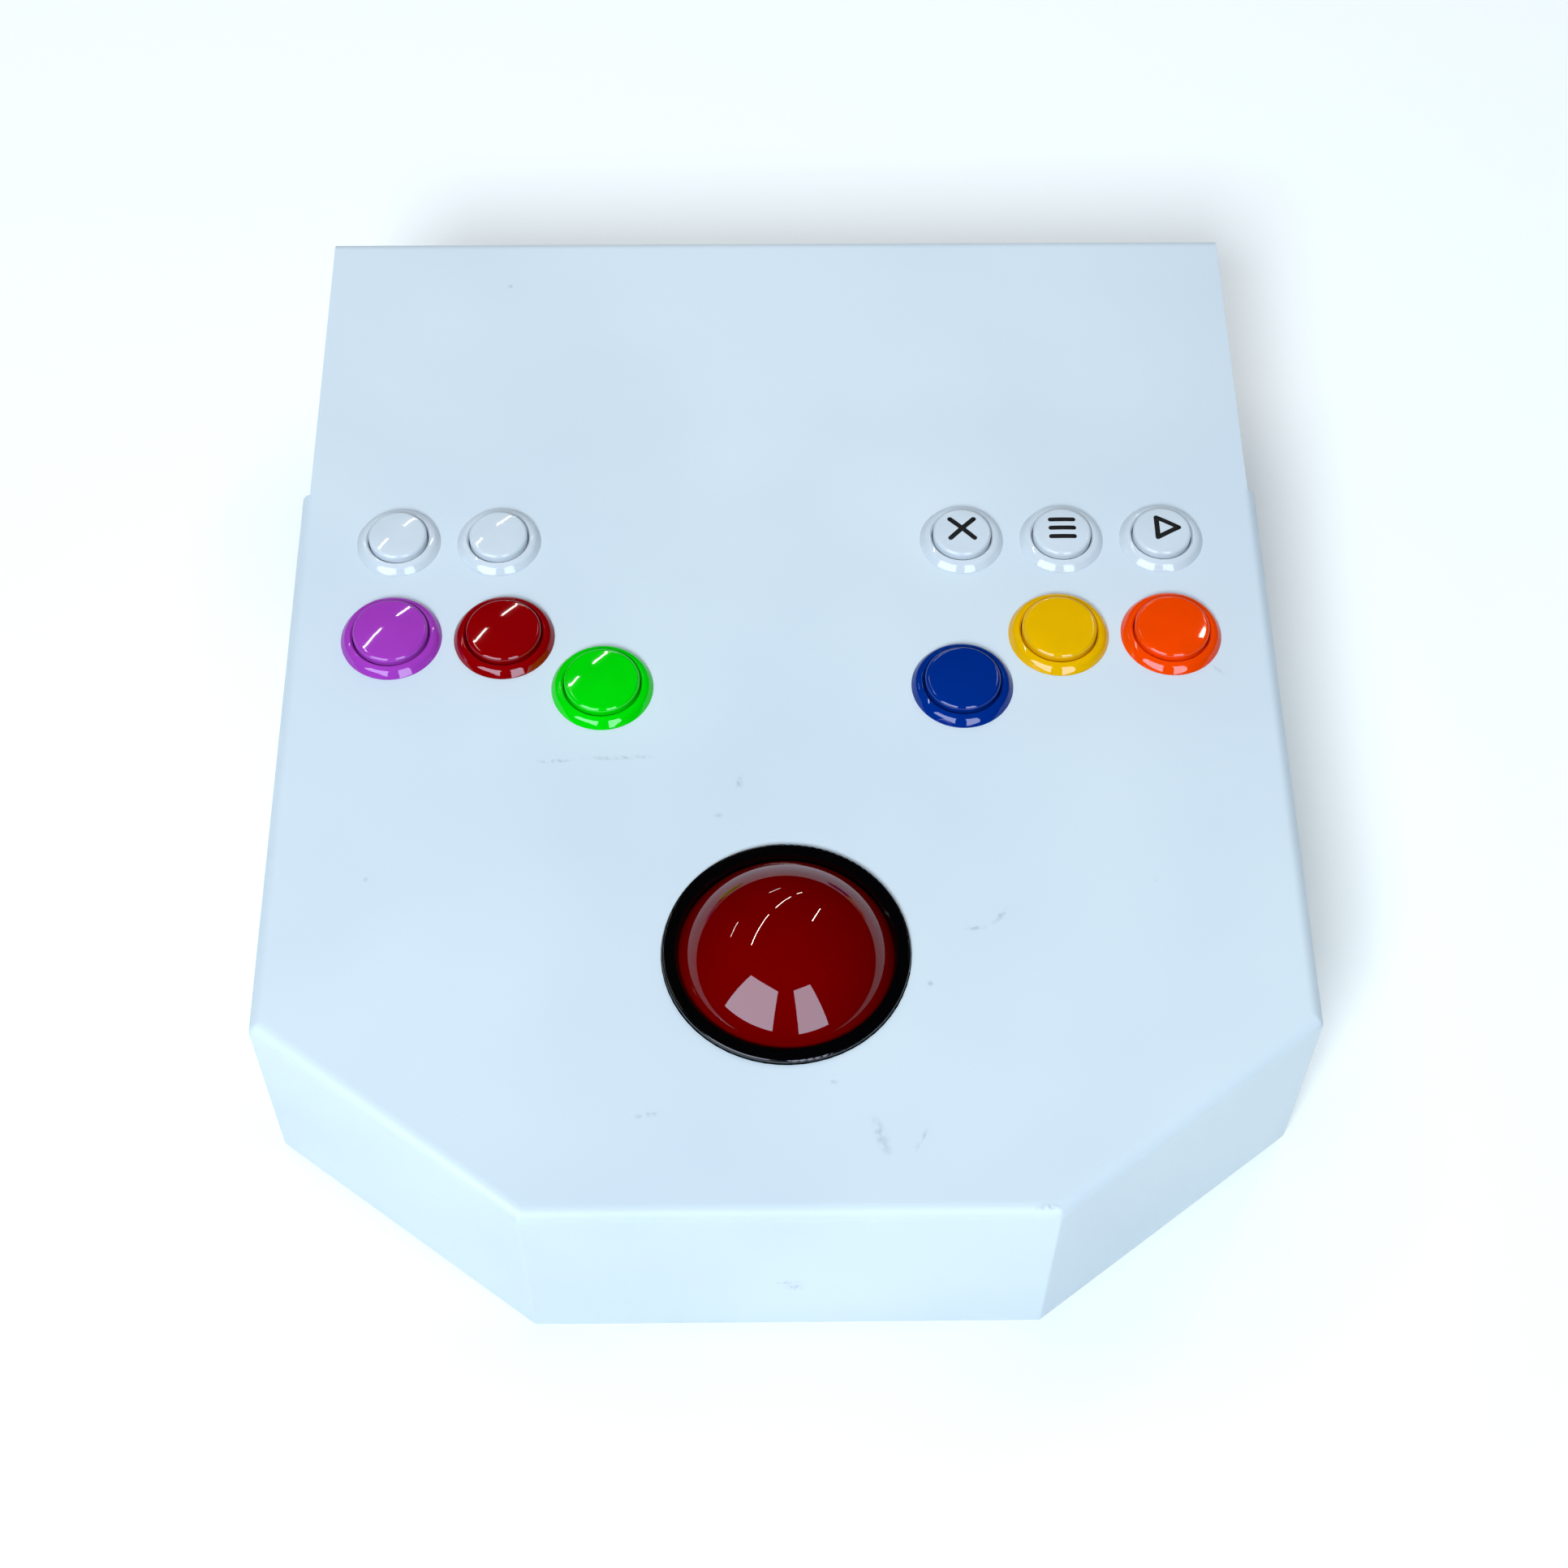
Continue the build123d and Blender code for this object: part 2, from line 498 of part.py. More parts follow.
def light_gate(name):
    """The forked optical sensor that straddles the wheel's rim."""
    high = ROLLER_Z - WHEEL_R + GATE_OVERLAP
    fork = outboard(name, GATE_HALF, WHEEL_AT - GATE_REACH, WHEEL_AT + GATE_REACH,
                    BOARD_Z + BOARD_THICKNESS, high)
    return fork - outboard(name, GATE_HALF + 1, WHEEL_AT - GATE_SLOT, WHEEL_AT + GATE_SLOT,
                           GATE_SLOT_Z, high + 1)


def board_header(name):
    """The plug-in header at the board's outer edge, open towards the slot in the tub's wall."""
    base = BOARD_Z + BOARD_THICKNESS
    near, far = WHEEL_AT + HEADER_AT, WHEEL_AT + HEADER_AT + HEADER_DEPTH
    shell = outboard(name, HEADER_HALF, near, far, base, base + HEADER_HEIGHT)
    return shell - outboard(name, HEADER_HALF - HEADER_WALL, near + HEADER_WALL, far + 1,
                            base + HEADER_WALL, base + HEADER_HEIGHT - HEADER_WALL)


def cable_slot(name):
    """Where a board's cable leaves through the tub's wall."""
    low = BOARD_Z + BOARD_THICKNESS - 0.5
    return outboard(name, CABLE_SLOT_HALF, TUB_HALF - TUB_WALL - 1, TUB_HALF + 1,
                    low, low + CABLE_SLOT_HEIGHT)


def housing_screw(x, y):
    """A pan-head screw that pulls the tub up against the cover."""
    head_top = TUB_Z + SCREW_SINK
    head_low = head_top - SCREW_HEAD
    screw = disc(SCREW_R, head_top, SPLIT_Z + SCREW_BITE, x, y)
    screw += disc(SCREW_HEAD_R, head_low, head_top, x, y)
    for across, along in ((RECESS_HALF, RECESS_WIDTH / 2), (RECESS_WIDTH / 2, RECESS_HALF)):
        screw -= slab(x - across, x + across, y - along, y + along,
                      head_low - 1, head_low + SCREW_HEAD / 2)
    return screw


def weld_stud(x, y):
    """A threaded stud welded under the deck, which shows nothing on top."""
    stud = disc(STUD_R, UNDER - STUD_LENGTH, UNDER, x, y) + disc(STUD_FOOT_R, UNDER - 1, UNDER, x, y)
    return chamfer(stud.edges().sort_by(Axis.Z)[0], 0.6)


def stud_washer(x, y):
    """A plain washer under the housing's mounting plate."""
    high = UNDER - PLATE_THICKNESS
    low = high - WASHER_THICKNESS
    return disc(WASHER_R, low, high, x, y) - disc(STUD_FOOT_R, low - 1, high + 1, x, y)


def stud_nut(x, y):
    """A hexagon nut with its corners turned off."""
    high = UNDER - PLATE_THICKNESS - WASHER_THICKNESS
    low = high - NUT_THICKNESS
    outline = RegularPolygon(NUT_HALF_FLAT, 6, major_radius=False)
    nut = Pos(x, y, low) * extrude(outline, NUT_THICKNESS) & disc(NUT_CORNER_R, low, high, x, y)
    return nut - disc(STUD_R, low - 1, high + 1, x, y)


# ---------------------------------------------------------------- write every node
def write(name, *solids):
    """One STEP file for one node, which may hold several separate solids."""
    shape = solids[0] if len(solids) == 1 else Compound(children=[s.solid() for s in solids])
    export_step(shape, f"parts/{name}.step")


def main():
    os.makedirs("parts", exist_ok=True)
    write("panel_shell", panel_shell())

    places = [("large", LARGE, LARGE_PLACES), ("small", SMALL, SMALL_PLACES)]
    switches, terminals = [], []
    for kind, size, spots in places:
        body, cap, nub = button_body(size), plunger(size), switch_nub(size)
        nut, holder, switch = ring_nut(size), switch_holder(size), microswitch(size)
        tabs = switch_terminals(size)
        nuts, holders = [], []
        for name, (x, y) in spots.items():
            at = Pos(x, y, TOP)
            write(f"{name}_button_body", at * body)
            write(f"{name}_plunger", at * cap)
            write(f"{name}_switch_nub", at * nub)
            nuts.append(at * nut)
            holders.append(at * holder)
            switches.append(at * switch)
            terminals += [at * tab for tab in tabs]
        write(f"{kind}_ring_nuts", *nuts)
        write(f"{kind}_switch_holders", *holders)
    write("microswitches", *switches)
    write("switch_terminals", *terminals)

    at = Pos(BALL_X, BALL_Y, 0)
    write("trackball_ball", at * ball())
    write("trackball_cover", at * trackball_cover())
    write("trackball_tub", at * trackball_tub())
    write("bearing_saddles", *[at * saddle for saddle in bearing_saddles()])
    ledges = [at * ledge for name in WHEEL_SIDE for ledge in board_ledges(name).solids()]
    write("board_ledges", *ledges)
    for name in roller_frames():
        write(f"{name}_roller", at * roller(name))
    for name in WHEEL_SIDE:
        write(f"{name}_encoder_wheel", at * encoder_wheel(name))
        write(f"{name}_encoder_board", at * encoder_board(name))
    write("light_gates", *[at * light_gate(name) for name in WHEEL_SIDE])
    write("board_headers", *[at * board_header(name) for name in WHEEL_SIDE])
    bearings = [at * place * Pos(0, 0, ROLLER_Z) * bearing() for place in bearing_places()]
    write("roller_bearings", *bearings)
    write("housing_screws", *[at * housing_screw(x, y) for x, y in corner_places(SCREW_OFFSET)])
    write("weld_studs", *[at * weld_stud(x, y) for x, y in corner_places(STUD_OFFSET)])
    write("stud_washers", *[at * stud_washer(x, y) for x, y in corner_places(STUD_OFFSET)])
    write("stud_nuts", *[at * stud_nut(x, y) for x, y in corner_places(STUD_OFFSET)])


main()
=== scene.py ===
# %% [markdown]
# # An arcade control panel
#
# The object is a folded sheet-steel deck, powder coated white, with six coloured push buttons, five
# small white ones and a three-inch trackball. The CAD model already holds its structure, its sizes
# and everything that moves. This file gives it its looks: smooth turned surfaces for what the eye
# rests on, real screw threads, printed signs, and a material for every finish.
#
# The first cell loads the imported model. Every CAD node is one object whose place is in its mesh.

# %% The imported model
import json
import math

import bmesh
import bpy
import numpy as np
from mathutils import Matrix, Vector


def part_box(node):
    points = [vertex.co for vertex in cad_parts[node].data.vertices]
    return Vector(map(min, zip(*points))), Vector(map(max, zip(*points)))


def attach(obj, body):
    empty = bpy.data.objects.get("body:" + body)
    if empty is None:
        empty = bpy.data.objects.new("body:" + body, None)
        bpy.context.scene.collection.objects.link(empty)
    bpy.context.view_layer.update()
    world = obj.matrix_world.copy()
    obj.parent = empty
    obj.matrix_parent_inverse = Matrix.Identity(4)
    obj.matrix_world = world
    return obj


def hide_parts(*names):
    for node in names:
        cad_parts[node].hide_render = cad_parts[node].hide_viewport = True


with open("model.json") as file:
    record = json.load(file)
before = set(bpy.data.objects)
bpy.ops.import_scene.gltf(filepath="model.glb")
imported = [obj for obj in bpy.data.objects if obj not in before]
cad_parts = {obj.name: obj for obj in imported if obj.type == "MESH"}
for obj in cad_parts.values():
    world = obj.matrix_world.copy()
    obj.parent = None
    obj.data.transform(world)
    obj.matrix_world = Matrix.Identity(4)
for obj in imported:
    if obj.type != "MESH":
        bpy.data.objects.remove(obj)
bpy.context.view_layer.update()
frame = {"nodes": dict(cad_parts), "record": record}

MM = 0.001
nodes = frame["nodes"]
record = frame["record"]
scene = bpy.context.scene

# %% [markdown]
# ## The camera and the light
#
# The camera looks down at the deck from where a standing player's eyes are. A real lens of about
# 64 mm on a 36 mm wide sensor gives the mild perspective. Three turns set where it looks: pitch is
# how far it looks down, yaw how far it is turned to the right, and roll how far it leans.

# %% Camera
DECK_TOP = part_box("panel_shell")[1].z
camera_data = bpy.data.cameras.new("camera")
camera_data.lens = 64.1
camera_data.sensor_width = 36.0
camera_data.clip_start = 0.05
camera = bpy.data.objects.new("camera", camera_data)
scene.collection.objects.link(camera)
scene.camera = camera

CAMERA_PLACE = (-0.01073, -0.53638, 0.85153)
PITCH, YAW, ROLL = math.radians(57.27), math.radians(1.255), math.radians(0.689)
turn = (Matrix.Rotation(-YAW, 4, "Z") @ Matrix.Rotation(math.pi / 2 - PITCH, 4, "X")
        @ Matrix.Rotation(ROLL, 4, "Z"))
camera.matrix_world = Matrix.Translation(CAMERA_PLACE) @ turn
print("camera height above the deck in mm:", round((camera.location.z - DECK_TOP) / MM))

# %% [markdown]
# The light is built from studio lamps, and each lamp has one job, as in a photographer's set:
#
# - two tall windows stand in front with a pillar between them. They are seen in reflections only,
#   so glossy plastic shows two soft windows at its near side, and the deck gets no light from them.
# - a soft key lamp in front, at 45 degrees, is the daylight that falls on the deck. The folds turn
#   towards it, so each has a bright line.
# - a wide ceiling panel and a blue sky fill the shadows. Like the key lamp they are left out of
#   reflections, because a pale room mirrored in the plastic would wash its deep colours out.
# - thin tubes under the ceiling draw the bright dashes on the ball and on the domed button caps.

# %% Lamps
ball_low, ball_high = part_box("trackball_ball")
BALL_CENTRE = (ball_low + ball_high) / 2


def aim(here, there):
    """A matrix that puts a lamp at here with its beam, its local -Z, on the way to there. The way
    may not be straight up or down."""
    here, there = np.array(here, float), np.array(there, float)
    back = (here - there) / np.linalg.norm(here - there)
    side = np.cross((0.0, 0.0, 1.0), back)
    side /= np.linalg.norm(side)
    up = np.cross(back, side)
    matrix = Matrix.Identity(4)
    for column, axis in enumerate((side, up, back)):
        for row in range(3):
            matrix[row][column] = axis[row]
    matrix.translation = here.tolist()
    return matrix


def area_lamp(name, matrix, width, height, watts, colour):
    """A rectangular lamp of that size in metres."""
    data = bpy.data.lights.new(name, "AREA")
    data.shape = "RECTANGLE"
    data.size, data.size_y = width, height
    data.energy = watts
    data.color = colour
    lamp = bpy.data.objects.new(name, data)
    scene.collection.objects.link(lamp)
    lamp.matrix_world = matrix
    return lamp


def round_the_ball(azimuth, elevation, distance):
    """A point seen from the ball in a compass direction: azimuth 0 is the rear, 90 the right."""
    a, e = math.radians(azimuth), math.radians(elevation)
    return (BALL_CENTRE.x + distance * math.cos(e) * math.sin(a),
            BALL_CENTRE.y + distance * math.cos(e) * math.cos(a),
            BALL_CENTRE.z + distance * math.sin(e))


DAYLIGHT, SKY_BLUE, KEY_BLUE = (0.74, 0.80, 1.0), (0.38, 0.70, 1.0, 1.0), (0.80, 0.92, 0.98)
TUBE_WHITE, CEILING_WHITE = (1.0, 0.95, 0.90), (1.0, 0.93, 0.84)
WINDOW_DISTANCE = 1.7
# name, azimuth, height of the middle, width, height, watts
WINDOWS = (("left_window", -144, 1.36, 1.48, 1.85, 66),
           ("right_window", 156.5, 1.28, 0.80, 1.9, 34))
for name, azimuth, middle_height, width, height, watts in WINDOWS:
    x, y, _ = round_the_ball(azimuth, 0, WINDOW_DISTANCE)
    window = area_lamp(name, aim((x, y, middle_height), (*BALL_CENTRE.xy, middle_height)),
                       width, height, watts, DAYLIGHT)
    window.visible_diffuse = False

TUBE_HEIGHT, TUBE_WIDTH, WATTS_PER_METRE = 1.9, 0.022, 4.0
# the (x, y) of each tube's two ends
TUBES = (
    ((-1.127, 0.200), (-0.548, 1.338)), ((-0.339, 1.708), (0.238, 2.849)),
    ((0.536, 3.445), (0.910, 4.136)), ((-2.362, 1.037), (-1.989, 1.696)),
    ((-0.817, 3.930), (-0.263, 4.984)), ((0.858, 1.070), (1.420, 2.195)),
)
for number, (near, far) in enumerate(TUBES):
    middle = ((near[0] + far[0]) / 2, (near[1] + far[1]) / 2, TUBE_HEIGHT)
    length = math.dist(near, far)
    heading = math.atan2(far[1] - near[1], far[0] - near[0])
    flat = Matrix.Translation(middle) @ Matrix.Rotation(heading, 4, "Z")
    area_lamp(f"tube_{number}", flat, length, TUBE_WIDTH, WATTS_PER_METRE * length, TUBE_WHITE)

CEILING_PLACE, CEILING_SIDE, CEILING_WATTS = (0.4, 1.1, 2.4), 2.2, 20
KEY_AZIMUTH, KEY_ELEVATION, KEY_DISTANCE, KEY_SIDE, KEY_WATTS = -163, 45, 2.6, 0.9, 73
ceiling = area_lamp("soft_ceiling", Matrix.Translation(CEILING_PLACE), CEILING_SIDE, CEILING_SIDE,
                    CEILING_WATTS, CEILING_WHITE)
key_place = round_the_ball(KEY_AZIMUTH, KEY_ELEVATION, KEY_DISTANCE)
key = area_lamp("soft_key", aim(key_place, (0.0, 0.0, DECK_TOP)), KEY_SIDE, KEY_SIDE,
                KEY_WATTS, KEY_BLUE)
for lamp in (ceiling, key):
    lamp.visible_glossy = False

# %% World and floor
# The sky is plain and soft. The floor is a pale, wide sheet 0.4 mm under the object, because two
# surfaces in one plane flicker where they overlap.
SKY_STRENGTH = 0.28
world = bpy.data.worlds.new("soft_sky")
scene.world = world
world.use_nodes = True
sky = world.node_tree.nodes["Background"]
sky.inputs["Color"].default_value = SKY_BLUE
sky.inputs["Strength"].default_value = SKY_STRENGTH
world.cycles_visibility.glossy = False
scene.view_settings.view_transform = "Standard"

FLOOR_HALF, FLOOR_Z = 3.0, -0.0004
floor_mesh = bpy.data.meshes.new("floor")
floor_mesh.from_pydata([(x * FLOOR_HALF, y * FLOOR_HALF, FLOOR_Z)
                        for x, y in ((-1, -1), (1, -1), (1, 1), (-1, 1))], [], [(0, 1, 2, 3)])
floor = bpy.data.objects.new("floor", floor_mesh)
scene.collection.objects.link(floor)
print("floor side in m:", 2 * FLOOR_HALF)

# %% [markdown]
# ## Making materials
#
# Colours are written as sRGB hex values, as a paint chart gives them, and one function turns them
# to the linear values that light adds up in. One more function adds a node, sets its values and
# links its inputs, so each material below reads as a list of what the surface is made of.

# %% Colour and node helpers
def linear(hex_colour):
    """sRGB hex to linear: below 0.04045 divide by 12.92, above it the 2.4 power curve."""
    srgb = np.array([int(hex_colour[i:i + 2], 16) for i in (1, 3, 5)]) / 255
    low, high = srgb / 12.92, ((srgb + 0.055) / 1.055) ** 2.4
    return (*np.where(srgb <= 0.04045, low, high).tolist(), 1.0)


def add(material, kind, settings=None, values=None, links=None):
    """Adds one node: settings are its properties, values its sockets, links (node, output)
    pairs."""
    tree = material.node_tree
    node = tree.nodes.new(kind)
    for key, value in (settings or {}).items():
        setattr(node, key, value)
    for key, value in (values or {}).items():
        node.inputs[key].default_value = value
    for key, (source, output) in (links or {}).items():
        tree.links.new(source.outputs[output], node.inputs[key])
    return node


def new_material(name):
    """An empty material with its shader, its output and the place on the object in metres."""
    material = bpy.data.materials.new(name)
    material.use_nodes = True
    material.node_tree.nodes.clear()
    shader = add(material, "ShaderNodeBsdfPrincipled")
    add(material, "ShaderNodeOutputMaterial", links={"Surface": (shader, "BSDF")})
    place = add(material, "ShaderNodeTexCoord")
    return material, shader, place


def join(material, source, output, node, socket):
    """Links one output to one input."""
    material.node_tree.links.new(source.outputs[output], node.inputs[socket])


def ramp(material, source, output, stops):
    """A colour ramp over a value: stops are (position, colour) pairs."""
    node = add(material, "ShaderNodeValToRGB", links={"Fac": (source, output)})
    elements = node.color_ramp.elements
    while len(elements) < len(stops):
        elements.new(0.5)
    for element, (position, colour) in zip(elements, stops):
        element.position = position
        element.color = colour
    return node


print("middle grey, linear:", [round(v, 3) for v in linear("#808080")])

# %% [markdown]
# ## The floor's finish
#
# A studio floor is matt and nearly white, with no pattern that would draw the eye.

# %% Floor material
material, shader, place = new_material("matt_studio_floor")
shader.inputs["Base Color"].default_value = linear("#FCF9F6")
shader.inputs["Roughness"].default_value = 0.9
shader.inputs["Specular IOR Level"].default_value = 0.1
floor.data.materials.append(material)
print("floor material:", material.name)

# %% [markdown]
# ## The deck's powder coat
#
# The deck is folded sheet steel. Powder coat is dry polyester paint, charged so that it clings and
# then baked, and it flows into a satin skin with a very fine ripple called orange peel. Daylight
# gives the white a cool cast. Years of hands leave faint scuffs and specks, so each mark below is a
# soft ellipsoid on the deck or the skirt, broken up by noise, in millimetres from the middle of the
# footprint.

# %% Powder coat
def mark_mask(material, place, x, y, half_length, half_width, angle, grain, z=None, tall=4):
    """One worn mark: 1 at the middle of a turned ellipsoid, 0 at its edge, times a broken noise.
    tall is half its height, and z its middle's height, which is the deck's top if none is given."""
    mapping = add(material, "ShaderNodeMapping", {"vector_type": "TEXTURE"},
                  {"Location": (x * MM, y * MM, DECK_TOP if z is None else z * MM),
                   "Rotation": (0, 0, math.radians(angle)),
                   "Scale": (half_length * MM, half_width * MM, tall * MM)},
                  {"Vector": (place, "Object")})
    distance = add(material, "ShaderNodeVectorMath", {"operation": "LENGTH"},
                   links={0: (mapping, "Vector")})
    ellipse = add(material, "ShaderNodeMapRange",
                  values={"From Min": 1.0, "From Max": 0.2, "To Min": 0.0, "To Max": 1.0},
                  links={"Value": (distance, "Value")})
    noise = add(material, "ShaderNodeTexNoise", values={"Scale": 1 / (grain * MM), "Detail": 4.0},
                links={"Vector": (place, "Object")})
    broken = add(material, "ShaderNodeMapRange", values={"From Min": 0.4, "From Max": 0.6},
                 links={"Value": (noise, "Factor" if "Factor" in noise.outputs else "Fac")})
    return add(material, "ShaderNodeMath", {"operation": "MULTIPLY"},
               links={0: (ellipse, "Result"), 1: (broken, "Result")})


# (x, y, half length, half width, turn in degrees, grain of the noise), all in mm
DECK_MARKS = (
    (-75, -35, 7.5, 0.9, 2, 1.6), (-54, -33.8, 14, 1.1, 1, 1.6), (-134, -79.6, 1.2, 1.2, 0, 4),
    (118, -81.4, 1.2, 1.2, 0, 4), (44.8, -118.7, 1.2, 1.2, 0, 4), (-98, 173.8, 1.2, 1.2, 0, 4),
    (-21.4, -56.3, 2.0, 1.2, 10, 3), (-14.3, -43.7, 3.6, 1.5, 75, 2),
    (146.4, -0.3, 3.4, 0.9, -45, 2), (68, -94.5, 5.0, 1.3, 50, 1.6), (60, -99, 4.0, 1.0, 5, 2.0),
    (40, -172, 5.5, 1.0, 62, 2.4), (28, -171, 8.0, 2.4, -72, 2.6), (-43, -163.2, 5.5, 1.3, 12, 2.4),
    (77, -194.3, 5.0, 1.4, 5, 1.4), (14, -152.6, 1.4, 1.0, 0, 4),
)
# The same for the skirt, with two more numbers: the height of the mark's middle, and half its
# own height.
SKIRT_MARKS = ((0, -197, 5.0, 3.0, 0, 1.6, 36, 1.6), (2, -197, 3.5, 3.0, 0, 1.4, 32.5, 3.0),
               (165, -132, 2.5, 2.5, 0, 6.0, 82.5, 1.6))
WHITE, SCUFF, SHADE = linear("#D0D8DF"), linear("#838E98"), linear("#C8D1DA")
SCUFF_STRENGTH = 0.42


def powder_coat(name):
    """Satin polyester powder coat over steel, with orange peel, a slow drift of tone and marks."""
    material, shader, place = new_material(name)
    drift = add(material, "ShaderNodeTexNoise", values={"Scale": 1 / (120 * MM), "Detail": 2.0},
                links={"Vector": (place, "Object")})
    colour = ramp(material, drift, 0, ((0.35, SHADE), (0.65, WHITE)))
    wear, output = None, None
    for mark in DECK_MARKS + SKIRT_MARKS:
        mask = mark_mask(material, place, *mark)
        if wear is not None:
            mask = add(material, "ShaderNodeMath", {"operation": "MAXIMUM"},
                       links={0: (wear, output), 1: (mask, "Value")})
        wear, output = mask, "Value"
    strength = add(material, "ShaderNodeMath", {"operation": "MULTIPLY"},
                   {1: SCUFF_STRENGTH}, {0: (wear, output)})
    mix = add(material, "ShaderNodeMix", {"data_type": "RGBA"}, {"B": SCUFF},
              {"Factor": (strength, "Value"), "A": (colour, "Color")})
    join(material, mix, "Result", shader, "Base Color")
    peel = add(material, "ShaderNodeTexNoise", values={"Scale": 1 / (2.2 * MM), "Detail": 2.0},
               links={"Vector": (place, "Object")})
    gloss = add(material, "ShaderNodeMapRange", values={"To Min": 0.36, "To Max": 0.46},
                links={"Value": (peel, 0)})
    join(material, gloss, "Result", shader, "Roughness")
    bump = add(material, "ShaderNodeBump", values={"Strength": 0.12, "Distance": 0.05 * MM},
               links={"Height": (peel, 0)})
    join(material, bump, "Normal", shader, "Normal")
    shader.inputs["IOR"].default_value = 1.5
    return material


finish = {"white_powder_coat": powder_coat("white_polyester_powder_coat")}
print("nodes in the powder coat:", len(finish["white_powder_coat"].node_tree.nodes))

# %% [markdown]
# ## Button plastic and the ball
#
# The buttons are moulded in ABS from polished moulds, dyed right through. ABS has an IOR of about
# 1.54 and a smooth, slightly waxy gloss. Fingers leave hair-fine rubbing, so the roughness varies a
# little over a millimetre or two. The ball is cast resin, ground and polished like a billiard
# ball, so it is the glossiest thing on the deck and its red is deep.

# %% Glossy plastics
def glossy_plastic(name, hex_colour, roughness, ior, shade=0.93):
    """Dyed, polished plastic: the colour drifts a little, and fine rubbing changes the gloss."""
    material, shader, place = new_material(name)
    full = linear(hex_colour)
    darker = (*(shade * channel for channel in full[:3]), 1.0)
    cloud = add(material, "ShaderNodeTexNoise", values={"Scale": 1 / (14 * MM), "Detail": 3.0},
                links={"Vector": (place, "Object")})
    colour = ramp(material, cloud, 0, ((0.3, darker), (0.7, full)))
    join(material, colour, "Color", shader, "Base Color")
    rub = add(material, "ShaderNodeTexNoise", values={"Scale": 1 / (1.6 * MM), "Detail": 5.0},
              links={"Vector": (place, "Object")})
    gloss = add(material, "ShaderNodeMapRange",
                values={"To Min": roughness * 0.75, "To Max": roughness * 1.35},
                links={"Value": (rub, 0)})
    join(material, gloss, "Result", shader, "Roughness")
    bump = add(material, "ShaderNodeBump", values={"Strength": 0.03, "Distance": 0.02 * MM},
               links={"Height": (rub, 0)})
    join(material, bump, "Normal", shader, "Normal")
    shader.inputs["IOR"].default_value = ior
    return material


ABS_IOR, RESIN_IOR = 1.54, 1.52
CAP_ROUGHNESS, BALL_ROUGHNESS = 0.045, 0.025
BUTTON_COLOURS = {"purple": "#A239B0", "red": "#8A0003", "green": "#00CF06", "blue": "#00297F",
                  "yellow": "#E8AC00", "orange": "#F44200", "white": "#CFD4DB"}
for colour_name, hex_colour in BUTTON_COLOURS.items():
    finish[f"{colour_name}_plastic"] = glossy_plastic(
        f"{colour_name}_gloss_abs", hex_colour, CAP_ROUGHNESS, ABS_IOR)
finish["red_phenolic"] = glossy_plastic(
    "red_polished_resin", "#6C0000", BALL_ROUGHNESS, RESIN_IOR)
print("glossy plastics:", len(BUTTON_COLOURS) + 1)

# %% [markdown]
# ## Black mouldings, metals and the circuit board
#
# Nuts, switch holders and the trackball's housing are black ABS from an eroded mould, which leaves
# a fine leathery grain of about a third of a millimetre. The shafts are ground steel, whose gloss
# changes over a tenth of a millimetre. Studs, nuts and screws are zinc plated. Terminals are brass.
# The circuit boards are glass-fibre laminate under green solder resist, with copper tracks that
# show through as a tint.

# %% Mouldings, metals and laminate
def moulded_black(name, hex_colour, roughness, grain):
    """Black moulded plastic with an eroded grain, whose spacing is in mm."""
    material, shader, place = new_material(name)
    shader.inputs["Base Color"].default_value = linear(hex_colour)
    noise = add(material, "ShaderNodeTexNoise", values={"Scale": 1 / (grain * MM), "Detail": 3.0},
                links={"Vector": (place, "Object")})
    gloss = add(material, "ShaderNodeMapRange",
                values={"To Min": roughness - 0.06, "To Max": roughness + 0.1},
                links={"Value": (noise, 0)})
    join(material, gloss, "Result", shader, "Roughness")
    bump = add(material, "ShaderNodeBump", values={"Strength": 0.12, "Distance": 0.04 * MM},
               links={"Height": (noise, 0)})
    join(material, bump, "Normal", shader, "Normal")
    shader.inputs["IOR"].default_value = ABS_IOR
    return material


def metal(name, hex_colour, roughness, stretch):
    """Bare or plated metal. stretch is the noise's spacing in mm along X, Y and Z."""
    material, shader, place = new_material(name)
    scale = tuple(1 / (s * MM) for s in stretch)
    mapping = add(material, "ShaderNodeMapping", values={"Scale": scale},
                  links={"Vector": (place, "Object")})
    noise = add(material, "ShaderNodeTexNoise", values={"Scale": 1.0, "Detail": 4.0},
                links={"Vector": (mapping, "Vector")})
    full = linear(hex_colour)
    darker = (*(0.82 * channel for channel in full[:3]), 1.0)
    colour = ramp(material, noise, 0, ((0.35, darker), (0.65, full)))
    join(material, colour, "Color", shader, "Base Color")
    gloss = add(material, "ShaderNodeMapRange",
                values={"To Min": roughness * 0.7, "To Max": roughness * 1.4},
                links={"Value": (noise, 0)})
    join(material, gloss, "Result", shader, "Roughness")
    shader.inputs["Metallic"].default_value = 1.0
    return material


def laminate(name):
    """Green solder resist over copper tracks: square cells, some of them tinted lighter."""
    material, shader, place = new_material(name)
    cells = add(material, "ShaderNodeTexVoronoi", {"distance": "CHEBYCHEV"},
                {"Scale": 1 / (2.54 * MM), "Randomness": 0.55}, {"Vector": (place, "Object")})
    colour = ramp(material, cells, "Distance",
                  ((0.30, linear("#0E5A2C")), (0.36, linear("#1F7A41")), (0.44, linear("#0A4A24"))))
    join(material, colour, "Color", shader, "Base Color")
    shader.inputs["Roughness"].default_value = 0.28
    shader.inputs["IOR"].default_value = RESIN_IOR
    return material


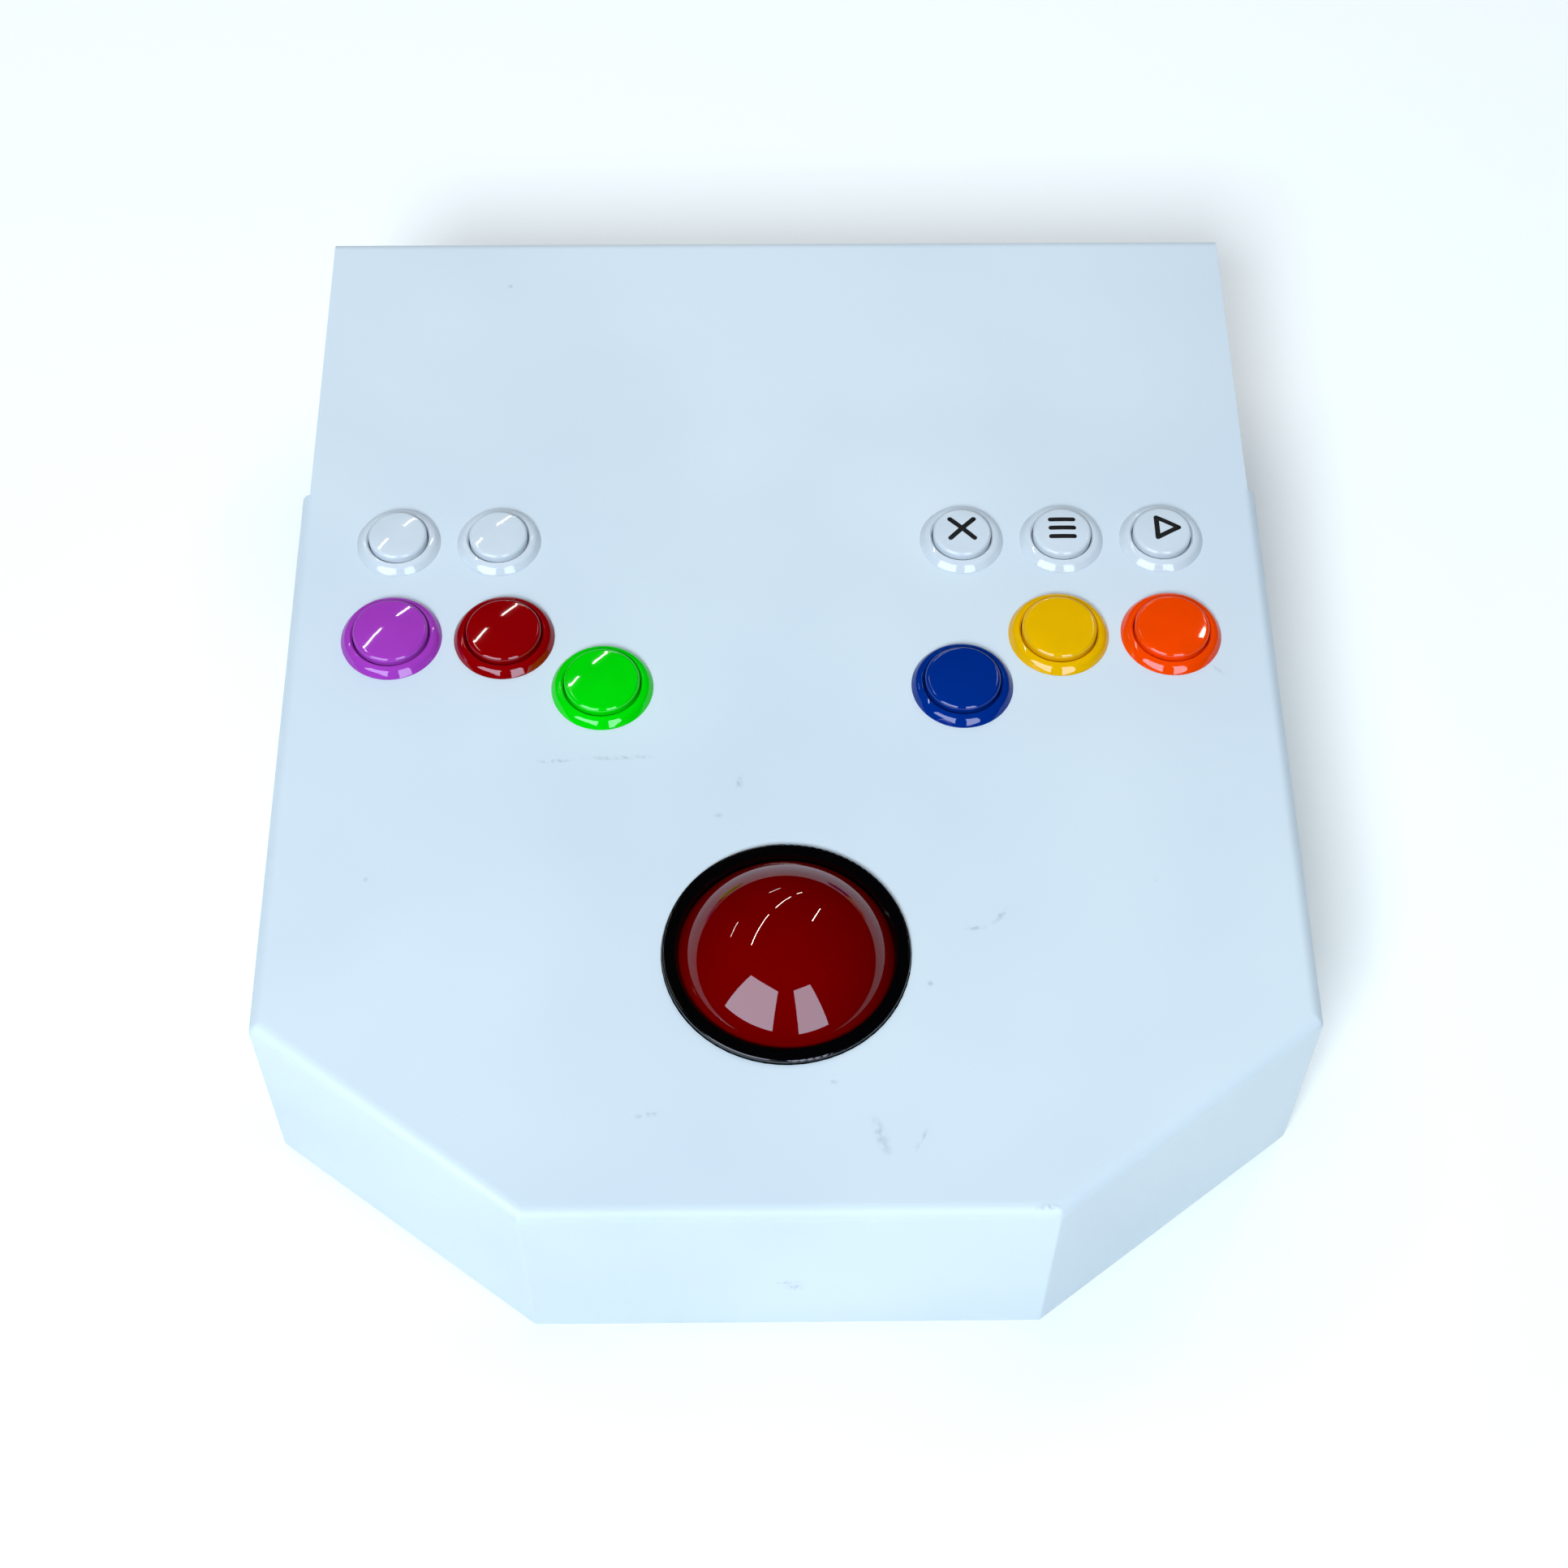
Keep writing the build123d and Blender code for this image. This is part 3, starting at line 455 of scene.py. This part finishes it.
finish["black_moulding"] = moulded_black("black_grained_abs", "#0B0B0D", 0.36, 0.35)
finish["polished_black"] = moulded_black("black_polished_abs", "#020203", 0.10, 1.5)
finish["switch_black"] = moulded_black("black_phenolic_switch_body", "#141416", 0.5, 0.5)
finish["wheel_black"] = moulded_black("black_acetal_wheel", "#101012", 0.42, 0.4)
finish["nub_red"] = moulded_black("red_acetal_nub", "#A01818", 0.4, 0.4)
finish["header_white"] = moulded_black("natural_nylon_header", "#DAD7CC", 0.45, 0.4)
finish["terminal_brass"] = metal("bright_brass", "#D9B45C", 0.22, (0.6, 0.6, 3.0))
finish["ground_steel"] = metal("ground_steel", "#B9BBBE", 0.2, (0.12, 0.12, 0.12))
finish["bearing_steel"] = metal("bearing_shield_steel", "#A9ACB0", 0.28, (0.3, 0.3, 0.3))
finish["zinc_plate"] = metal("bright_zinc_plate", "#C4CAD0", 0.26, (0.8, 0.8, 0.8))
finish["board_green"] = laminate("green_solder_resist_laminate")

ink, ink_shader, ink_place = new_material("black_pad_print_ink")
ink_shader.inputs["Base Color"].default_value = linear("#020203")
ink_noise = add(ink, "ShaderNodeTexNoise", values={"Scale": 1 / (0.4 * MM)},
                links={"Vector": (ink_place, "Object")})
ink_gloss = add(ink, "ShaderNodeMapRange", values={"To Min": 0.55, "To Max": 0.75},
                links={"Value": (ink_noise, 0)})
join(ink, ink_gloss, "Result", ink_shader, "Roughness")
print("finishes:", len(finish) + 1)

# %% Finishes on the CAD nodes
# Each node carries a material slot's name in the record, and takes the finish of that name. The
# trackball's cover ends in the collar, which is polished.
for part in record["subparts"]:
    for material_slot in nodes[part["node"]].material_slots:
        material_slot.material = finish[part["material_slot"]]
for material_slot in nodes["trackball_cover"].material_slots:
    material_slot.material = finish["polished_black"]
print("nodes finished:", len(record["subparts"]))

# %% [markdown]
# ## Turned surfaces
#
# Rims, caps, nuts and the ball are all bodies of revolution, as most moulded round parts are. One
# could subdivide a cage until it looks round, but a formula is exact and smaller: a profile of
# (radius, height) points is carried round a vertical axis, so x = r cos t and y = r sin t. A second
# function may change the radius with angle and height, and so it cuts threads and spanner notches.

# %% Surface helpers
def rounded(corners, steps=6, closed=True):
    """Rounds an outline's corners, given as (radius, height, rounding). On a corner between unit
    directions u and w the arc's centre is rounding / sin(half angle) along their bisector, and the
    arc is swept between the two tangent points."""
    spots = np.array([c[:2] for c in corners], float)
    outline = []
    for i, (_, _, rounding) in enumerate(corners):
        at_end = not closed and i in (0, len(corners) - 1)
        if rounding == 0 or at_end:
            outline.append(spots[i][None])
            continue
        u, w = spots[i - 1] - spots[i], spots[(i + 1) % len(spots)] - spots[i]
        u, w = u / np.linalg.norm(u), w / np.linalg.norm(w)
        half = math.acos(np.clip(u @ w, -1, 1)) / 2
        centre = spots[i] + (u + w) / np.linalg.norm(u + w) * rounding / math.sin(half)
        first = spots[i] + u * rounding / math.tan(half) - centre
        last = spots[i] + w * rounding / math.tan(half) - centre
        sweep = math.atan2(first[0] * last[1] - first[1] * last[0], first @ last)
        t = np.linspace(0, sweep, steps)[:, None]
        side = np.array([-first[1], first[0]])
        outline.append(centre + first * np.cos(t) + side * np.sin(t))
    return np.concatenate(outline)


def turned_grid(profile, columns, reshape=None):
    """Carries (radius, height) points in mm round Z: a grid of rows by columns of (x, y, z)."""
    t = np.linspace(0, 2 * np.pi, columns, endpoint=False)[None, :]
    radius = np.repeat(profile[:, :1], columns, axis=1)
    height = np.repeat(profile[:, 1:], columns, axis=1)
    if reshape is not None:
        radius = reshape(radius, height, t)
    return np.stack([radius * np.cos(t), radius * np.sin(t), height], axis=-1)


def grid_faces(rows, columns, ring, first_pole, last_pole):
    """Four-sided faces over a grid whose columns close on themselves. ring joins the last row to
    the first. A pole is a row that is one point, so the faces beside it have three sides."""
    index = np.arange(rows * columns).reshape(rows, columns)
    if first_pole:
        index[0] = index[0, 0]
    if last_pole:
        index[-1] = index[-1, 0]
    below = index if ring else index[:-1]
    above = np.roll(index, -1, axis=0) if ring else index[1:]
    quads = np.stack([below, np.roll(below, -1, 1), np.roll(above, -1, 1), above], axis=-1)
    start, stop = int(first_pole), len(quads) - int(last_pole)
    faces = [quads[start:stop].reshape(-1, 4)]
    if first_pole:
        faces.append(quads[0][:, [0, 2, 3]])
    if last_pole:
        faces.append(quads[-1][:, [0, 1, 3]])
    return faces


def signed_volume(points, faces):
    """The sum of the pyramids from the origin to each face: negative if the faces point inwards."""
    total = 0.0
    for group in faces:
        for i in range(1, group.shape[1] - 1):
            a, b, c = (points[group[:, k]] for k in (0, i, i + 1))
            total += np.einsum("ij,ij->", a, np.cross(b, c)) / 6
    return total


def solid_mesh(name, grids, ring=False, poles=(False, False)):
    """One mesh from one or more grids of the same kind, in mm, each a closed surface."""
    points, faces, used = [], [], 0
    for grid in grids:
        flat = grid.reshape(-1, 3)
        own = grid_faces(*grid.shape[:2], ring, *poles)
        if signed_volume(flat - flat.mean(0), own) < 0:
            own = [group[:, ::-1] for group in own]
        faces += [group + used for group in own]
        points.append(flat)
        used += len(flat)
    every = np.concatenate(points) * MM
    mesh = bpy.data.meshes.new(name)
    mesh.from_pydata(every.tolist(), [], [face for group in faces for face in group.tolist()])
    mesh.update()
    lone = np.ones(len(every), bool)
    for group in faces:
        lone[group.ravel()] = False
    drop_loose_points(mesh, lone)
    mesh.polygons.foreach_set("use_smooth", np.ones(len(mesh.polygons), bool))
    return mesh


def drop_loose_points(mesh, lone):
    """Removes the spare points of the rows that were drawn together into poles."""
    if not lone.any():
        return
    work = bmesh.new()
    work.from_mesh(mesh)
    work.verts.ensure_lookup_table()
    spare = [work.verts[i] for i in np.flatnonzero(lone)]
    bmesh.ops.delete(work, geom=spare, context="VERTS")
    work.to_mesh(mesh)
    work.free()


def show_piece(name, mesh, material, body, replaced=()):
    """Puts a finished mesh into the scene: it rides on a body and may stand for CAD nodes."""
    piece = bpy.data.objects.new(name, mesh)
    scene.collection.objects.link(piece)
    mesh.materials.append(material)
    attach(piece, body)
    if replaced:
        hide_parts(*replaced)
    return piece


def middle_mm(node):
    """The middle of a node's footprint, in mm."""
    low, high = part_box(node)
    return np.array([(low.x + high.x) / 2, (low.y + high.y) / 2, 0.0]) / MM


TOP_MM = DECK_TOP / MM
print("deck top in mm:", round(TOP_MM, 2))

# %% [markdown]
# ## Button rims and barrels
#
# A push button is dropped through its hole from above: the rim stops on the deck, and a ring nut
# pulls it down from below on a coarse thread. The rim falls gently outwards and rounds over at its
# edge, where it catches the window light. The thread is a true helix: at height z and angle t the
# radius dips by a rounded groove whose phase is z / pitch - t / one turn.

# %% Rims and threaded barrels
LARGE = {"rim": 17.0, "height": 3.2, "cap": 12.65, "cap_height": 6.1, "edge": 1.5,
         "barrel": 14.8, "length": 22.0, "nut": 18.4, "nut_height": 5.0}
SMALL = {"rim": 14.4, "height": 2.9, "cap": 10.0, "cap_height": 5.5, "edge": 1.3,
         "barrel": 11.8, "length": 20.0, "nut": 15.4, "nut_height": 4.5}
BUTTONS = {name: (LARGE, f"{name}_plastic")
           for name in ("purple", "red", "green", "blue", "yellow", "orange")}
BUTTONS.update({name: (SMALL, "white_plastic")
                for name in ("left_outer", "left_inner", "close", "menu", "play")})
SHEET_MM = 1.5
PITCH_MM, GROOVE_MM, FADE_MM = 1.5, 0.45, 1.5
THREAD_TOP_MM, THREAD_FOOT_MM = -1.8, 0.5    # below the deck's top, and above the barrel's end
SLIDE_MM, WALL_MM = 0.3, 0.95                # round the cap, and the barrel's wall
SHOULDER_MM = -4.0                           # the barrel is wider inside below here
COLUMNS, THREAD_ROWS = 96, 112


def threaded(size):
    """Radius with a helical groove: r - depth * (0.5 + 0.5 cos(2 pi (z / pitch - t / 2 pi)))."""
    def reshape(radius, height, t):
        phase = height / PITCH_MM - t / (2 * np.pi)
        groove = GROOVE_MM * (0.5 + 0.5 * np.cos(2 * np.pi * phase))
        fade_in = np.clip((THREAD_TOP_MM - height) / FADE_MM, 0, 1)
        fade_out = np.clip((height + size["length"] - THREAD_FOOT_MM) / FADE_MM, 0, 1)
        fade = fade_in * fade_out
        on_barrel = np.abs(radius - size["barrel"]) < 0.01
        return np.where(on_barrel, radius - groove * fade, radius)
    return reshape


def rim_profile(size):
    """The section of rim and barrel in one moulding, from the mouth outwards and back inside."""
    bore, rim, height = size["cap"] + SLIDE_MM, size["rim"], size["height"]
    inside, barrel, length = size["barrel"] - WALL_MM, size["barrel"], size["length"]
    bend = rim - 1.55
    upper = rounded([(inside, SHOULDER_MM, 0), (bore, SHOULDER_MM, 0), (bore, height - 1.0, 0.4),
                     (bore + 0.7, height, 0.25), (bore + 1.0, height, 0.2),
                     (bend, height * 0.80, 2.6), (rim, 0.15, 0.25), (rim, 0.0, 0.0),
                     (barrel, 0.0, 0)], closed=False)
    rows = np.linspace(-0.2, -length + 0.3, THREAD_ROWS)
    wall = np.stack([np.full(THREAD_ROWS, barrel), rows], axis=1)
    lower = np.array([(barrel - 0.3, -length), (inside, -length)])
    return np.concatenate([upper, wall, lower])


for name, (size, plastic) in BUTTONS.items():
    node = f"{name}_button_body"
    grid = turned_grid(rim_profile(size), COLUMNS, threaded(size))
    grid = grid + middle_mm(node) + (0, 0, TOP_MM)
    mesh = solid_mesh(f"{name}_rim", [grid], ring=True)
    show_piece(f"{name}_rim", mesh, finish[plastic], "panel", [node])
print("faces in a rim:", len(mesh.polygons))

# %% [markdown]
# ## Caps
#
# The cap is what the finger presses. Its top is a very flat dome, part of a sphere of 85 mm radius,
# so every cap shows the ceiling tubes in nearly the same place. The dome runs into a small rounded
# edge and a straight skirt. Underneath it is hollow, with a stem that presses the switch.

# %% Caps
DOME_MM, CROWN_MM = 85.0, 2.2          # the dome's radius, and its thickness on the axis
SKIN_MM, SKIRT_MM = 1.4, -12.0         # the skirt's wall, and its foot's height
STOP_LOW_MM, STOP_HIGH_MM = -6.4, -4.1
STOP_CLEAR_MM = 0.3                    # between the stop collar and the barrel
STEM_MM = 2.6


def cap_profile(size, stem_end):
    """Dome, edge, skirt, stop collar, hollow and stem, from the top of the axis to its foot."""
    radius, height, edge = size["cap"], size["cap_height"], size["edge"]
    inside, under = radius - SKIN_MM, height - CROWN_MM
    stop = size["barrel"] - WALL_MM - STOP_CLEAR_MM
    across = np.linspace(0, radius - edge, 14)
    dome = np.stack([across, height - DOME_MM + np.sqrt(DOME_MM ** 2 - across ** 2)], axis=1)
    low = dome[-1, 1] - edge
    turn_edge = np.linspace(0, np.pi / 2, 8)[1:]
    corner = np.stack([radius - edge + edge * np.sin(turn_edge),
                       low + edge * np.cos(turn_edge)], axis=1)
    rest = rounded([(radius, low, 0), (radius, STOP_HIGH_MM, 0.2), (stop, STOP_HIGH_MM, 0.2),
                    (stop, STOP_LOW_MM, 0.2), (radius, STOP_LOW_MM, 0.2), (radius, SKIRT_MM, 0.3),
                    (inside, SKIRT_MM, 0.3), (inside, under, 0.8), (STEM_MM, under, 0.8),
                    (STEM_MM, stem_end, 0.4), (0.0, stem_end, 0)], steps=4, closed=False)
    return np.concatenate([dome, corner, rest[1:]])


for name, (size, plastic) in BUTTONS.items():
    node = f"{name}_plunger"
    stem_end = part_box(node)[0].z / MM - TOP_MM
    grid = turned_grid(cap_profile(size, stem_end), COLUMNS)
    grid = grid + middle_mm(node) + (0, 0, TOP_MM)
    mesh = solid_mesh(f"{name}_cap", [grid], poles=(True, True))
    show_piece(f"{name}_cap", mesh, finish[plastic], f"{name}_button", [node])
print("faces in a cap:", len(mesh.polygons), "stem foot below the deck:", round(-stem_end, 1), "mm")

# %% [markdown]
# ## The printed signs
#
# Three small caps carry a sign in black pad-print ink: a cross, three bars and a triangle that
# points to the right. Each stroke is a pill, a straight line with round ends: half a circle at one
# end, points spaced along one side, and the same again turned by half a turn. Drawing the outline
# inwards in rings lets the ink follow the dome, and a thickness of a few hundredths of a millimetre
# is what pad printing leaves. Where strokes cross, each lies a hair higher than the one before it.

# %% Signs
INK_MM, SINK_MM, LIFT_MM = 0.04, 0.05, 0.004
STROKE_MM, SIGN_AT_MM = 1.75, 0.9      # a stroke's width, and how far behind the axis a sign is


def dome_height(x, y):
    """Height of a small cap's dome above the deck at (x, y) from its axis, in mm."""
    return SMALL["cap_height"] - DOME_MM + np.sqrt(DOME_MM ** 2 - x ** 2 - y ** 2)


def stroke_grid(start, end, lift):
    """A pill from start to end: rings shrink to the middle above, and again below the surface."""
    start, end = np.array(start, float), np.array(end, float)
    half = np.linalg.norm(end - start) / 2
    along = (end - start) / (2 * half)
    across = np.array([-along[1], along[0]])
    t = np.linspace(-np.pi / 2, np.pi / 2, 13)
    side = np.linspace(half, -half, 18)[1:-1]
    reach = np.concatenate([half + STROKE_MM / 2 * np.cos(t), side])
    aside = STROKE_MM / 2 * np.concatenate([np.sin(t), np.ones(len(side))])
    outline = reach[:, None] * along + aside[:, None] * across
    outline = np.concatenate([outline, -outline])
    shrink = np.array([0.0, 0.35, 0.7, 1.0, 1.0, 0.5, 0.0])[:, None, None]
    flat = (start + end) / 2 + (0.0, SIGN_AT_MM) + outline[None] * shrink
    above = np.array([1, 1, 1, 0.9, -1, -1, -1])[:, None]
    offset = np.where(above > 0, (INK_MM + lift) * above, -SINK_MM)
    height = dome_height(flat[..., 0], flat[..., 1]) + offset
    return np.concatenate([flat, height[..., None]], axis=-1)


ARM, BAR_HALF, BAR_STEP = 4.1, 3.9, 3.65
TRIANGLE = ((-1.8, -4.3), (-1.8, 4.3), (5.6, 0.0))
SIGNS = {
    "close": [((-ARM, -ARM), (ARM, ARM)), ((-ARM, ARM), (ARM, -ARM))],
    "menu": [((-BAR_HALF, y), (BAR_HALF, y)) for y in (-BAR_STEP, 0.0, BAR_STEP)],
    "play": list(zip(TRIANGLE, TRIANGLE[1:] + TRIANGLE[:1])),
}
for name, strokes in SIGNS.items():
    grids = [stroke_grid(start, end, LIFT_MM * i) + middle_mm(f"{name}_plunger") + (0, 0, TOP_MM)
             for i, (start, end) in enumerate(strokes)]
    mesh = solid_mesh(f"{name}_sign", grids, poles=(True, True))
    show_piece(f"{name}_sign", mesh, ink, f"{name}_button")
print("signs:", ", ".join(SIGNS))

# %% [markdown]
# ## Ring nuts
#
# Each button is held from below by a black plastic ring nut with twelve notches for a pin spanner.
# The outer radius is a circle with twelve smooth dips: the notch depth times a steep curve of the
# angle's cosine. The bore's own thread is out of sight between nut and barrel.

# %% Ring nuts
NOTCHES, NOTCH_MM, STEP_MM = 12, 1.0, 1.2    # no notch reaches into the step at the top


def notched(size):
    """Outer radius less a notch: depth * 1 / (1 + exp(-60 (cos(12 t) - 0.35)))."""
    def reshape(radius, height, t):
        dip = 1 / (1 + np.exp(-60 * (np.cos(NOTCHES * t) - 0.35)))
        open_below = height < -SHEET_MM - STEP_MM
        on_rim = radius > size["nut"] - NOTCH_MM
        return np.where(open_below & on_rim, radius - NOTCH_MM * dip, radius)
    return reshape


def nut_profile(size):
    """A ring with a chamfered lower edge, and a step above which no notch is cut."""
    inside, outside = size["barrel"] + 0.06, size["nut"]
    low, high = -SHEET_MM - size["nut_height"], -SHEET_MM
    step = high - STEP_MM
    return np.array([(inside, low + 0.4), (inside, high), (outside - 0.3, high),
                     (outside, high - 0.3), (outside, step + 0.02), (outside, step - 0.02),
                     (outside, low + 0.8), (outside - 0.8, low), (inside + 0.4, low)])


for kind, size in (("large", LARGE), ("small", SMALL)):
    places = [middle_mm(f"{name}_button_body") for name, (own, _) in BUTTONS.items() if own is size]
    nut = turned_grid(nut_profile(size), 2 * COLUMNS, notched(size))
    mesh = solid_mesh(f"{kind}_nuts", [nut + place + (0, 0, TOP_MM) for place in places], ring=True)
    mesh.polygons.foreach_set("use_smooth", np.zeros(len(mesh.polygons), bool))
    show_piece(f"{kind}_nuts", mesh, finish["black_moulding"], "panel",
               [f"{kind}_ring_nuts"])
print("faces in the small nuts:", len(mesh.polygons))

# %% [markdown]
# ## The ball
#
# A trackball is ground between cup wheels until it is round to a few hundredths of a millimetre. A
# sphere by angles is the right surface: r sin(p) cos(t), r sin(p) sin(t), r cos(p), with p from one
# pole to the other. A subdivided cube would spread its faces more evenly, but it is never truly
# round, and the long reflections on a polished ball show the slightest flat.

# %% Ball
ball_radius = (ball_high.z - ball_low.z) / 2 / MM
BALL_ROWS = 129
polar = np.linspace(0, np.pi, BALL_ROWS)
ball_profile = np.stack([ball_radius * np.sin(polar), ball_radius * np.cos(polar)], axis=1)
ball_grid = turned_grid(ball_profile, 2 * COLUMNS) + np.array(BALL_CENTRE) / MM
ball_mesh = solid_mesh("polished_ball", [ball_grid], poles=(True, True))
show_piece("polished_ball", ball_mesh, finish["red_phenolic"], "ball",
           ["trackball_ball"])
print("ball radius in mm:", round(ball_radius, 2))
